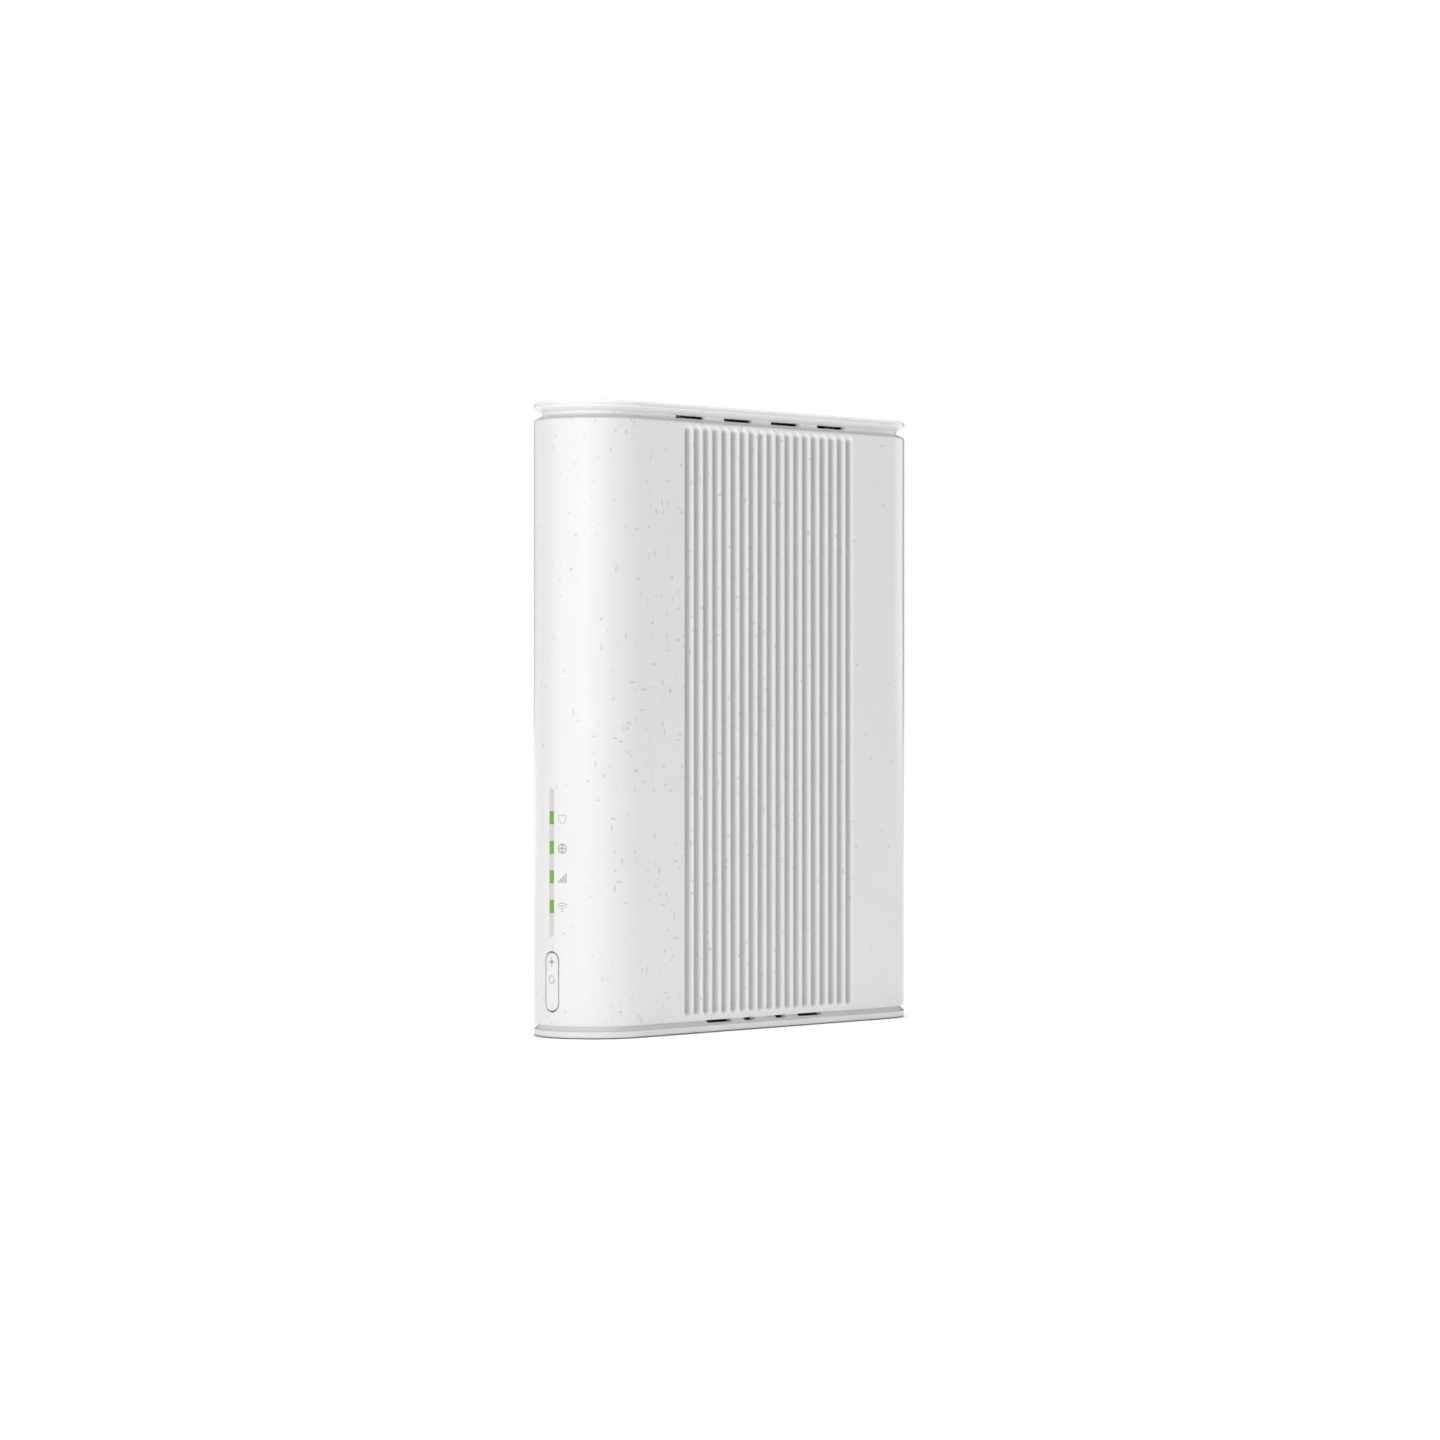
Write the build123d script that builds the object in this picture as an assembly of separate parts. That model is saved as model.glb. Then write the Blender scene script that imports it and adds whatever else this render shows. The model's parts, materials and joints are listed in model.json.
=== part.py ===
from build123d import *
import os
from math import sqrt

os.makedirs("parts", exist_ok=True)

# Upright cable modem with a stadium plan. +Z is up, the lights and the button are on the
# narrow end at -Y, the sockets on the narrow end at +Y, the fluted broad faces look along X.
# The origin is on the surface it stands on, under the middle. All sizes are in millimetres.

# ---- overall size ----
height = 220.0
width = 176.0
thickness = 42.0
wall = 2.2

end_radius = thickness / 2
end_centre = width / 2 - end_radius
front = -width / 2
rear = width / 2
inner_half = thickness / 2 - wall

# ---- fits ----
slip = 0.15            # between fixed pieces that slide together
close_fit = 0.05       # between a turned piece and its hole
button_gap = 0.6       # round the front button, on every side
running_gap = 0.3      # between a moving piece and what it passes
overrun = 1.0          # how far a cut runs past the surface it opens

# ---- stack of the base, from the bottom up ----
foot_gap = 0.3         # under the base plate
base_edge_bottom = 0.9
base_edge_top = 2.4
base_floor = 2.9
base_lip_top = 4.1
shell_bottom = 4.45
base_notch = 1.9       # how far the lower groove goes in
base_ring_top = 6.4
ring_wall = 1.6
base_vent_bottom = 3.3
tie_sink = 0.5         # how far the cross ties stop under the top of the base ring
screw_boss_wall = 1.4
label_half_x = 12.0
label_half_y = 34.0
label_depth = 0.15
label_recess = 0.3

# ---- stack of the top, from the top down ----
cap_side_bottom = height - 1.8
cap_bottom = height - 3.5
shell_top = height - 4.6
shoulder_bottom = height - 6.1
top_notch = 3.05       # how far the upper groove goes in
cap_plate = 1.8
top_flange_top = height - 7.7
top_flange_bottom = height - 9.7
top_round = 0.9
shoulder_round = 0.8
cap_side_round = 0.3
peg_radius = 2.0
peg_tab_half = 4.0
vent_sill = 0.1        # how far the vent slots stop short of the piece above them

# ---- flutes ----
flute_count = 19
flute_pitch = 4.74
flute_width = 3.57
flute_depth = 1.35
flute_shift = 1.3      # how far the fluted panel sits towards the sockets
flute_bottom = 6.1
flute_top = height - 7.3
crest_round = 0.82

# ---- vent slots ----
top_vent_length = 15.0
top_vent_pitch = 24.8
long_vent = (17.5, 30.4)
short_vent = (5.5, 11.0)

# ---- front light strip and button ----
button_width = 5.6
button_height = 20.0
button_bottom = 9.5
button_travel = 0.5
button_flange = 0.9
button_flange_depth = 1.0
button_z = button_bottom + button_height / 2
strip_width = 2.1
strip_length = 51.1
strip_bottom = button_bottom + button_height + 5.6
strip_top = strip_bottom + strip_length
strip_flange = 1.5
strip_flange_depth = 1.0
light_length = 4.5
light_pitch = 10.2
light_heights = [strip_bottom + 10.4 + index * light_pitch for index in range(4)]
lens_depth = 1.2
shroud_gap = 0.1
shroud_inset = 1.5     # how far the shroud stops short of each end of the strip
emitter_depth = 0.8
emitter_half_x = 0.8
emitter_half_z = 1.0

# ---- main board, standing across Y with its parts towards +X ----
board_face = -6.8
board_depth = 1.6
board_back = board_face - board_depth
board_front_y = front + 24.0
board_rear_y = rear - 14.0
board_bottom = 12.0
board_top = height - 20.0

# ---- rear socket bay ----
panel_face = rear - 9.0
panel_depth = 2.0
panel_back = panel_face - panel_depth
bay_bottom = 14.0
bay_top = 137.0
bay_corner = 5.0
bay_overlap = 1.2
bay_slip = 0.2
collar_wall = 1.4
collar_recess = 0.6
port_axis = 0.0
dc_z = 33.0
coax_z = 51.0
jack_heights = [72.0, 91.0]
reset_z = 107.0
power_z = 119.0
panel_screw_heights = [21.0, 130.0]

plate_half = sqrt((inner_half - bay_slip) ** 2 - (panel_face - end_centre) ** 2)
bay_half = plate_half - bay_overlap

# ---- front board, standing across X behind the strip ----
front_board_back = front + 14.0
front_board_depth = 1.6
front_board_face = front_board_back - front_board_depth
front_board_half = 11.0
front_board_bottom = 8.6
front_board_top = strip_top + 6.0

# ---- chassis ----
boss_length = 3.0
bar_depth = 2.0
bar_width = 6.0
bar_face = board_back - boss_length
bar_back = bar_face - bar_depth
deck_bottom = 7.2
deck_depth = 2.0
deck_half = min(inner_half - 4.5, 14.0)
boss_gap = 0.4         # between the screw bosses and the edge of the main board
deck_end = end_centre - 5.0
deck_lip = 0.6         # how far the decks stand past the bars
top_deck = height - 17.0
tab_depth = 2.5
tab_half = 3.0
front_tab_margin = 2.0
rear_tab_reach = 5.0   # how far the rear tabs run past the middle
tab_inset = 4.0        # from the end of an antenna to the middle of its tab
front_column = (-2.0, 4.0)      # both columns, measured from the board's near edge
rear_column = (13.0, 7.0)
standoff_radius = 3.0
chassis_boss_wall = 1.0
deck_rim = 3.0
deck_windows = ((0.1, 0.34), (0.41, 0.67))   # as shares of the deck's half length

# ---- fasteners ----
case_screw = 1.5
case_head = 2.8
case_screw_places = [(x, y) for x in (-9.0, 9.0) for y in (-0.7 * end_centre, 0.7 * end_centre)]
small_screw = 1.25
small_head = 2.25
small_head_depth = 1.6
head_round = 0.6
head_sink = 0.2        # how far the case screws sit inside their pockets
top_head_depth = 1.8
cross_long = 1.3       # half the length of the cross recess in a screw head
cross_wide = 0.35
cross_depth = 1.0
panel_screw_bite = 2.2
front_screw_length = 3.6
foot_radius = 6.0
foot_depth = 1.7
foot_places = [(x, y) for x in (-9.0, 9.0) for y in (-end_centre + 1.0, end_centre - 1.0)]


# ---- helpers ----
def box(x, y, z):
    """A block between two ends on each axis."""
    size = [end - start for start, end in (x, y, z)]
    return Pos(*[(start + end) / 2 for start, end in (x, y, z)]) * Box(*size)


def rod_x(radius, x, y, z):
    return Pos((x[0] + x[1]) / 2, y, z) * Rot(0, 90, 0) * Cylinder(radius, x[1] - x[0])


def rod_y(radius, y, x, z):
    return Pos(x, (y[0] + y[1]) / 2, z) * Rot(90, 0, 0) * Cylinder(radius, y[1] - y[0])


def rod_z(radius, z, x, y):
    return Pos(x, y, (z[0] + z[1]) / 2) * Cylinder(radius, z[1] - z[0])


def outline(inset, z=0.0):
    """The plan outline, drawn in by an inset, at one height."""
    return Pos(0, 0, z) * SlotOverall(width - 2 * inset, thickness - 2 * inset, rotation=90)


def prism(inset, z):
    return extrude(outline(inset, z[0]), z[1] - z[0])


def flare(inset_low, inset_high, z):
    """A slice of the outline whose side slopes from one inset to another."""
    return loft([outline(inset_low, z[0]), outline(inset_high, z[1])], ruled=True)


def pill_y(wide, tall, y, z):
    """An upright pill-shaped bar that runs along Y."""
    face = Plane.XZ * SlotOverall(tall, wide, rotation=90)
    return Pos(0, y[1], z) * extrude(face, y[1] - y[0])


def slab_y(half, z, corner, y):
    """A round-cornered plate that faces along Y."""
    face = Plane.XZ * RectangleRounded(2 * half, z[1] - z[0], corner)
    return Pos(0, y[1], (z[0] + z[1]) / 2) * extrude(face, y[1] - y[0])


def edges_at(shape, z):
    return shape.edges().filter_by_position(Axis.Z, z - 0.01, z + 0.01)


def cross_recess(centre, axis, reach):
    """A cross cut into a screw head that points along an axis: 0 is X, 1 is Y, 2 is Z."""
    bars = []
    for long_axis in range(3):
        if long_axis != axis:
            spans = [(place - cross_wide, place + cross_wide) for place in centre]
            spans[long_axis] = (centre[long_axis] - cross_long, centre[long_axis] + cross_long)
            spans[axis] = reach
            bars.append(box(*spans))
    return bars[0] + bars[1]


def group(shapes):
    """Separate solids that share one node."""
    return Compound([solid for shape in shapes for solid in shape.solids()])


def save(name, shape):
    export_step(shape, "parts/" + name + ".step")
    print(name, len(shape.solids()), round(shape.volume, 1))


# ---- outer shell, cap and base ----
def flute_cutters():
    radius = (flute_width ** 2 / 4 + flute_depth ** 2) / (2 * flute_depth)
    axis_x = thickness / 2 - flute_depth + radius
    low = flute_bottom + flute_width / 2
    high = flute_top - flute_width / 2
    cutters = []
    for side in (-1, 1):
        for index in range(flute_count):
            y = flute_shift + (index - (flute_count - 1) / 2) * flute_pitch
            groove = rod_z(radius, (low, high), side * axis_x, y)
            groove += Pos(side * axis_x, y, low) * Sphere(radius)
            groove += Pos(side * axis_x, y, high) * Sphere(radius)
            cutters.append(groove)
    return cutters


def body_shell():
    outer = prism(0, (shell_bottom, shoulder_bottom))
    outer += flare(0, top_notch - slip, (shoulder_bottom, shell_top))
    outer = fillet(edges_at(outer, shoulder_bottom), shoulder_round)
    shell = outer - flute_cutters()
    rims = [edge for edge in shell.edges()
            if abs(abs(edge.center().X) - thickness / 2) < 0.01
            and abs(edge.center().Y - flute_shift) < flute_count * flute_pitch / 2
            and flute_bottom - 0.01 < edge.center().Z < flute_top + 0.01]
    shell = fillet(rims, crest_round)
    shell -= prism(wall, (shell_bottom, top_flange_top + slip))
    shell -= prism(top_notch - slip, (top_flange_top, shell_top))
    shell -= slab_y(bay_half, (bay_bottom, bay_top), bay_corner, (end_centre, rear))
    shell -= pill_y(button_width + 2 * button_gap, button_height + 2 * button_gap,
                    (front, -end_centre), button_z)
    shell -= strip_bar(close_fit, (front, -end_centre))
    return shell


def cap_peg_places():
    return [(0, y) for y in (-0.85 * end_centre, -0.3 * end_centre, 0.3 * end_centre, 0.85 * end_centre)]


def top_cap():
    cap = flare(top_notch, 0, (cap_bottom, cap_side_bottom))
    cap += prism(0, (cap_side_bottom, height))
    cap = fillet(edges_at(cap, height), top_round)
    cap = fillet(edges_at(cap, cap_side_bottom), cap_side_round)
    cap -= prism(top_notch + 2 * ring_wall, (cap_bottom, height - cap_plate))
    for x, y in cap_peg_places():
        cap += rod_z(peg_radius, (top_flange_bottom, height - cap_plate), x, y)
    return cap


def top_vent_frame():
    frame = prism(wall + slip, (top_flange_bottom, top_flange_top))
    frame += prism(top_notch, (top_flange_top, cap_bottom))
    frame -= prism(top_notch + ring_wall, (top_flange_bottom, cap_bottom))
    reach = (-inner_half + ring_wall, inner_half - ring_wall)
    level = (top_flange_bottom, top_flange_top)
    for x, y in cap_peg_places():
        frame += box(reach, (y - peg_tab_half, y + peg_tab_half), level)
        frame -= rod_z(peg_radius + close_fit, level, x, y)
    for x, y in case_screw_places:
        frame += box(reach, (y - peg_tab_half, y + peg_tab_half), level)
    for x, y in case_screw_places:
        frame -= rod_z(case_screw + close_fit, level, x, y)
    for index in (-1.5, -0.5, 0.5, 1.5):
        middle = index * top_vent_pitch
        span = (middle - top_vent_length / 2, middle + top_vent_length / 2)
        frame -= box((-thickness, thickness), span, (shell_top - vent_sill, cap_bottom - vent_sill))
    return frame


def base_vent_spans():
    spans = []
    for low, high in (long_vent, short_vent):
        spans += [(low, high), (-high, -low)]
    return spans


def base_plate():
    plate = flare(base_edge_bottom - foot_gap, 0, (foot_gap, base_edge_bottom))
    plate += prism(0, (base_edge_bottom, base_edge_top))
    plate += flare(0, base_notch - close_fit, (base_edge_top, base_lip_top))
    plate -= prism(base_notch - close_fit, (base_floor, base_lip_top))
    for x, y in case_screw_places:
        plate += rod_z(case_head + screw_boss_wall, (base_floor, shell_bottom), x, y)
        plate -= rod_z(case_head + slip, (foot_gap, base_floor), x, y)
        plate -= rod_z(case_screw + close_fit, (base_floor, shell_bottom), x, y)
    for x, y in foot_places:
        plate -= rod_z(foot_radius + slip, (foot_gap, foot_depth), x, y)
    plate -= box((-label_half_x - slip, label_half_x + slip),
                 (-label_half_y - slip, label_half_y + slip), (foot_gap, foot_gap + label_recess))
    for span in base_vent_spans():
        plate -= box((-thickness, thickness), span, (base_vent_bottom, base_lip_top))
    return plate


def rating_label():
    level = (foot_gap + label_recess - label_depth, foot_gap + label_recess)
    return box((-label_half_x, label_half_x), (-label_half_y, label_half_y), level)


def base_vent_frame():
    frame = prism(base_notch, (base_floor, shell_bottom))
    frame += prism(wall + slip, (shell_bottom, base_ring_top))
    frame -= prism(wall + slip + ring_wall, (base_floor, base_ring_top))
    reach = (-inner_half + ring_wall, inner_half - ring_wall)
    level = (shell_bottom, base_ring_top - tie_sink)
    for side in (-1, 1):
        y = side * abs(case_screw_places[0][1])
        frame += box(reach, (y - peg_tab_half, y + peg_tab_half), level)
    for x, y in case_screw_places:
        frame -= rod_z(case_screw + close_fit, level, x, y)
    for span in base_vent_spans():
        frame -= box((-thickness, thickness), span, (base_vent_bottom, shell_bottom - vent_sill))
    return frame


def rubber_feet():
    return group([rod_z(foot_radius, (0, foot_depth), x, y) for x, y in foot_places])


# ---- front lights and button ----
def strip_bar(grow, y):
    """The outline of the light strip as a bar along Y, made larger by a clearance."""
    tall = strip_top - strip_bottom + 2 * grow
    return pill_y(strip_width + 2 * grow, tall, y, (strip_top + strip_bottom) / 2)


def wall_depth_at(half):
    """Where the curved inner wall of the front end lies, this far to each side."""
    return -end_centre - sqrt(inner_half ** 2 - half ** 2)


strip_back = wall_depth_at(strip_width / 2 + strip_flange) + close_fit
strip_flange_back = strip_back + strip_flange_depth


def lens_blocks(grow):
    y = (front - overrun, front + lens_depth + grow)
    half = light_length / 2 + grow
    return [box((-strip_width, strip_width), y, (z - half, z + half)) for z in light_heights]


def light_bar():
    bar = strip_bar(0, (front, strip_flange_back)) & prism(close_fit, (0, height))
    for block in lens_blocks(0):
        bar -= block
    half = strip_width / 2 + strip_flange
    return bar + box((-half, half), (strip_back, strip_flange_back),
                     (strip_bottom - strip_flange, strip_top + strip_flange))


def light_lenses():
    sheet = strip_bar(0, (front, front + lens_depth)) & prism(0, (0, height))
    return group([sheet & block for block in lens_blocks(0)])


button_flange_front = wall_depth_at(button_width / 2 + button_gap + button_flange) + running_gap
button_flange_back = button_flange_front + button_flange_depth
switch_face = front_board_face - 3.5
plunger_out = 0.8
plunger_in = 0.7
plunger_tip = switch_face - plunger_out
plunger_radius = 1.7
plunger_fit = 0.1
plunger_room = 0.2     # left behind the plunger at the end of its travel
button_stem_radius = 2.0
switch_half = 3.0
guide_gap = 0.4
guide_wall = 1.2
guide_end_wall = 0.8
guide_start = 0.7      # behind the front of the button's flange


def front_button():
    cap = pill_y(button_width, button_height, (front, button_flange_back), button_z)
    cap = cap & prism(0, (0, height))
    cap += pill_y(button_width + 2 * (button_gap + button_flange),
                  button_height + 2 * (button_gap + button_flange),
                  (button_flange_front, button_flange_back), button_z)
    return cap + rod_y(button_stem_radius, (button_flange_back, plunger_tip), 0, button_z)


def front_switch():
    body = box((-switch_half, switch_half), (switch_face, front_board_face),
               (button_z - switch_half, button_z + switch_half))
    socket = (switch_face, switch_face + plunger_in + button_travel + plunger_room)
    return body - rod_y(plunger_radius + plunger_fit, socket, 0, button_z)


def front_switch_plunger():
    return rod_y(plunger_radius, (plunger_tip, switch_face + plunger_in), 0, button_z)


def button_guide():
    flange_half = button_width / 2 + button_gap + button_flange
    inner = flange_half + guide_gap
    outer = inner + guide_wall
    inner_tall = button_height / 2 + button_gap + button_flange + guide_gap
    outer_tall = inner_tall + guide_end_wall
    y = (button_flange_front + guide_start, front_board_face)
    guide = box((-outer, outer), y, (button_z - outer_tall, button_z + outer_tall))
    return guide - box((-inner, inner), y, (button_z - inner_tall, button_z + inner_tall))


def light_shroud():
    y = (strip_flange_back + shroud_gap, front_board_face)
    half = strip_width / 2 + strip_flange
    shroud = box((-half, half), y, (strip_bottom + shroud_inset, strip_top - shroud_inset))
    for z in light_heights:
        tunnel = light_length / 2
        shroud -= box((-strip_width / 2, strip_width / 2), y, (z - tunnel, z + tunnel))
    return shroud


def light_emitters():
    x = (-emitter_half_x, emitter_half_x)
    y = (front_board_face - emitter_depth, front_board_face)
    return group([box(x, y, (z - emitter_half_z, z + emitter_half_z)) for z in light_heights])


front_tab_heights = [14.0, front_board_top - 5.0]
front_screw_x = 8.6


def front_screw_places():
    return [(x, z) for x in (-front_screw_x, front_screw_x) for z in front_tab_heights]


def front_board():
    board = box((-front_board_half, front_board_half), (front_board_face, front_board_back),
                (front_board_bottom, front_board_top))
    for x, z in front_screw_places():
        board -= rod_y(small_screw + slip, (front_board_face, front_board_back), x, z)
    return board


def screw_y(x, z, seat, inward, shank):
    """A pan-head screw along Y whose head sits on a seat; inward is where its shank goes."""
    face = seat - inward * small_head_depth
    head = rod_y(small_head, sorted((seat, face)), x, z)
    rim = head.edges().sort_by(Axis.Y)[0 if inward > 0 else -1]
    head = fillet(rim, head_round)
    head -= cross_recess((x, seat, z), 1, sorted((face, face + inward * cross_depth)))
    return head + rod_y(small_screw, sorted((seat, seat + inward * shank)), x, z)


def front_board_screws():
    return group([screw_y(x, z, front_board_face, 1, front_screw_length) for x, z in front_screw_places()])


# ---- chassis ----
antenna_front = (front_board_top + 12.0, board_top - 44.0)
antenna_rear = (bay_top + 8.0, board_top - 4.0)
board_screw_places = [(y, z) for y in (board_front_y + 3.0, board_rear_y - 10.0)
                      for z in (board_bottom + 3.5, board_top - 4.0)]


def rear_tab_heights():
    return panel_screw_heights + [antenna_rear[0] + tab_inset, antenna_rear[1] - tab_inset]


def front_arm_heights():
    return front_tab_heights + [antenna_front[0] + tab_inset, antenna_front[1] - tab_inset]


def deck(z):
    plate = box((bar_back - deck_lip, deck_half), (-deck_end, deck_end), (z, z + deck_depth))
    for side in (-1, 1):
        for start, end in deck_windows:
            window = sorted((side * start * deck_end, side * end * deck_end))
            plate -= box((board_face + deck_rim, deck_half - deck_rim), window, (z, z + deck_depth))
    return plate


def chassis():
    bar_x = (bar_back, bar_face)
    frame = deck(deck_bottom) + deck(top_deck)
    columns = [(board_front_y + front_column[0], board_front_y + front_column[1]),
               (board_rear_y - rear_column[0], board_rear_y - rear_column[1])]
    for span in columns:
        frame += box(bar_x, span, (deck_bottom, top_deck + deck_depth))
    frame += box(bar_x, (columns[0][0], columns[1][1]), (board_bottom, board_bottom + bar_width))
    frame += box(bar_x, (columns[0][0], columns[1][1]), (board_top - bar_width, board_top))
    for z in rear_tab_heights():
        span = (z - tab_half, z + tab_half)
        frame += box(bar_x, (columns[1][0], panel_back), span)
        frame += box((bar_back, rear_tab_reach), (panel_back - tab_depth, panel_back), span)
    for z in front_arm_heights():
        span = (z - tab_half, z + tab_half)
        frame += box(bar_x, (front_board_back, columns[0][1]), span)
        frame += box((bar_back, front_screw_x + front_tab_margin),
                     (front_board_back, front_board_back + tab_depth), span)
    for x, y in case_screw_places:
        low = (base_ring_top - tie_sink, board_bottom - boss_gap)
        high = (board_top + boss_gap, top_flange_bottom)
        frame += rod_z(case_head + chassis_boss_wall, low, x, y)
        frame += rod_z(case_head + chassis_boss_wall, high, x, y)
    for y, z in board_screw_places:
        frame += rod_x(standoff_radius, (bar_face, board_back), y, z)
    return drill_chassis(frame)


def drill_chassis(frame):
    for x, y in case_screw_places:
        low = (base_ring_top - tie_sink, board_bottom - 2 * boss_gap)
        high = (board_top + 2 * boss_gap, top_flange_bottom)
        frame -= rod_z(case_screw + close_fit, low, x, y)
        frame -= rod_z(case_screw + close_fit, high, x, y)
    for y, z in board_screw_places:
        frame -= rod_x(small_screw + close_fit, (bar_back, board_back), y, z)
    for x, z in front_screw_places():
        frame -= rod_y(small_screw + close_fit, (front_board_back, front_board_back + tab_depth),
                       x, z)
    for z in panel_screw_heights:
        frame -= rod_y(small_screw + close_fit, (panel_back - tab_depth, panel_back), port_axis, z)
    return frame


def case_screws():
    screws = []
    for x, y in case_screw_places:
        face = foot_gap + head_sink
        screw = rod_z(case_head, (face, base_floor), x, y)
        screw = fillet(screw.edges().sort_by(Axis.Z)[0], head_round)
        screw += rod_z(case_screw, (base_floor, board_bottom - 3 * boss_gap), x, y)
        screws.append(screw - cross_recess((x, y, face), 2, (face, face + cross_depth)))
    return group(screws)


def top_screws():
    screws = []
    for x, y in case_screw_places:
        face = top_flange_top + top_head_depth
        screw = rod_z(case_head, (top_flange_top, face), x, y)
        screw = fillet(screw.edges().sort_by(Axis.Z)[-1], head_round)
        screw += rod_z(case_screw, (board_top + 3 * boss_gap, top_flange_top), x, y)
        screws.append(screw - cross_recess((x, y, face), 2, (face - cross_depth, face)))
    return group(screws)


# ---- main board and what it carries ----
sink_y = (board_front_y + 16.0, board_rear_y - 46.0)
sink_z = (60.0, board_top - 32.0)
pad_front = (board_face + 1.4, board_face + 2.2)
sink_base = (pad_front[1], pad_front[1] + 2.5)
rear_pad_depth = 1.0
rear_sink_base = (board_back - rear_pad_depth - 2.0, board_back - rear_pad_depth)
fin_depth = 1.3
fin_tip = inner_half - 3.3
rear_fin_tip = inner_half - 1.4
sink_screw_inset = 4.5
sink_screw_places = [(y, z) for y in (sink_y[0] + sink_screw_inset, sink_y[1] - sink_screw_inset)
                     for z in (sink_z[0] + sink_screw_inset, sink_z[1] - sink_screw_inset)]
sink_middle = ((sink_y[0] + sink_y[1]) / 2, (sink_z[0] + sink_z[1]) / 2)
modem_chip_half = 11.0
radio_chip_half = 7.0
chip_offset = 26.0
memory_half_y = 5.0
memory_half_z = 6.5
main_fin_count = 15
rear_fin_count = 12
driver_gap = 1.0       # round the screw heads, for a screwdriver
loose_hole = 0.1       # added to a screw's radius where it only passes through
screw_bite = 1.0
radio_chip_places = [(sink_middle[0] - 22.0, sink_middle[1] + chip_offset),
                     (sink_middle[0] + 18.0, sink_middle[1] + chip_offset)]
memory_chip_places = [(sink_middle[0] - 24.0, sink_middle[1] - 8.0),
                      (sink_middle[0] - 24.0, sink_middle[1] + 8.0)]


def board_block(middle, half_y, half_z, x):
    """A square part that stands on the board at a (y, z) place."""
    y, z = middle
    return box(x, (y - half_y, y + half_y), (z - half_z, z + half_z))


def main_board():
    board = box((board_back, board_face), (board_front_y, board_rear_y), (board_bottom, board_top))
    for y, z in board_screw_places + sink_screw_places:
        board -= rod_x(case_screw, (board_back, board_face), y, z)
    return board


def board_screws():
    screws = []
    for y, z in board_screw_places:
        screw = rod_x(small_head, (board_face, board_face + small_head_depth), y, z)
        screws.append(screw + rod_x(small_screw, (bar_face - screw_bite, board_face), y, z))
    return group(screws)


def fins(x, y_span, z, count):
    """Upright fins, evenly spaced across a heat sink."""
    step = (y_span[1] - y_span[0] - fin_depth) / (count - 1)
    starts = [y_span[0] + index * step for index in range(count)]
    return [box(x, (start, start + fin_depth), z) for start in starts]


def main_heat_sink():
    sink = box(sink_base, sink_y, sink_z)
    for fin in fins((sink_base[1], fin_tip), sink_y, sink_z, main_fin_count):
        sink += fin
    for y, z in sink_screw_places:
        sink -= rod_x(small_head + driver_gap, (sink_base[1], fin_tip), y, z)
        sink -= rod_x(small_screw + loose_hole, sink_base, y, z)
    return sink


def rear_heat_sink():
    sink = box(rear_sink_base, sink_y, sink_z)
    for fin in fins((-rear_fin_tip, rear_sink_base[0]), sink_y, sink_z, rear_fin_count):
        sink += fin
    for y, z in sink_screw_places:
        sink -= rod_x(small_screw + close_fit, (rear_sink_base[0] + 0.5, rear_sink_base[1]), y, z)
    return sink


def heat_sink_screws():
    screws = []
    for y, z in sink_screw_places:
        screw = rod_x(small_head, (sink_base[1], sink_base[1] + small_head_depth), y, z)
        screws.append(screw + rod_x(small_screw, (rear_sink_base[0] + 0.7, sink_base[1]), y, z))
    return group(screws)


def modem_chip():
    return board_block(sink_middle, modem_chip_half, modem_chip_half, (board_face, pad_front[0]))


def radio_chips():
    return group([board_block(place, radio_chip_half, radio_chip_half, (board_face, pad_front[0]))
                  for place in radio_chip_places])


def memory_chips():
    return group([board_block(place, memory_half_y, memory_half_z, (board_face, pad_front[0]))
                  for place in memory_chip_places])


def thermal_pads():
    pads = [board_block(sink_middle, modem_chip_half, modem_chip_half, pad_front)]
    for place in radio_chip_places:
        pads.append(board_block(place, radio_chip_half, radio_chip_half, pad_front))
    for place in memory_chip_places:
        pads.append(board_block(place, memory_half_y, memory_half_z, pad_front))
    back = (rear_sink_base[1], board_back)
    pads.append(board_block(sink_middle, modem_chip_half, modem_chip_half, back))
    for place in radio_chip_places:
        pads.append(board_block(place, radio_chip_half, radio_chip_half, back))
    return group(pads)


can_wall = 0.3
supply_z = 24.0        # the row of capacitors and coils that feeds the chips
supply_pitch = 12.0
supply_count = 3
capacitor_radius = 4.0
capacitor_length = 11.0
coil_half = 4.0
coil_depth = 4.2


def shield_can(y, z, tall):
    can = box((board_face, board_face + tall), y, z)
    inner_y = (y[0] + can_wall, y[1] - can_wall)
    inner_z = (z[0] + can_wall, z[1] - can_wall)
    return can - box((board_face, board_face + tall - can_wall), inner_y, inner_z)


def tuner_shield():
    return shield_can((board_rear_y - 40.0, board_rear_y - 13.0), (38.0, 62.0), 5.0)


def radio_shields():
    z = (sink_z[1] + 4.0, board_top - 8.0)
    middle = sink_middle[0]
    return group([shield_can((middle - 36.0, middle - 6.0), z, 3.0),
                  shield_can((middle + 4.0, middle + 34.0), z, 3.0)])


def power_capacitors():
    cans = []
    for index in range(supply_count):
        y = board_rear_y - 26.0 - index * supply_pitch
        can = rod_x(capacitor_radius, (board_face, board_face + capacitor_length), y, supply_z)
        cans.append(fillet(can.edges().sort_by(Axis.X)[-1:], 0.6))
    return group(cans)


def power_inductors():
    coils = []
    for index in range(supply_count):
        y = board_rear_y - 66.0 - index * supply_pitch
        block = board_block((y, supply_z), coil_half, coil_half, (board_face, board_face + coil_depth))
        coils.append(fillet(block.edges().filter_by(Axis.X), 1.0))
    return group(coils)


def network_transformers():
    y = board_rear_y - 24.0
    return group([board_block((y, z), 4.5, 7.0, (board_face, board_face + 5.5)) for z in jack_heights])


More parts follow.
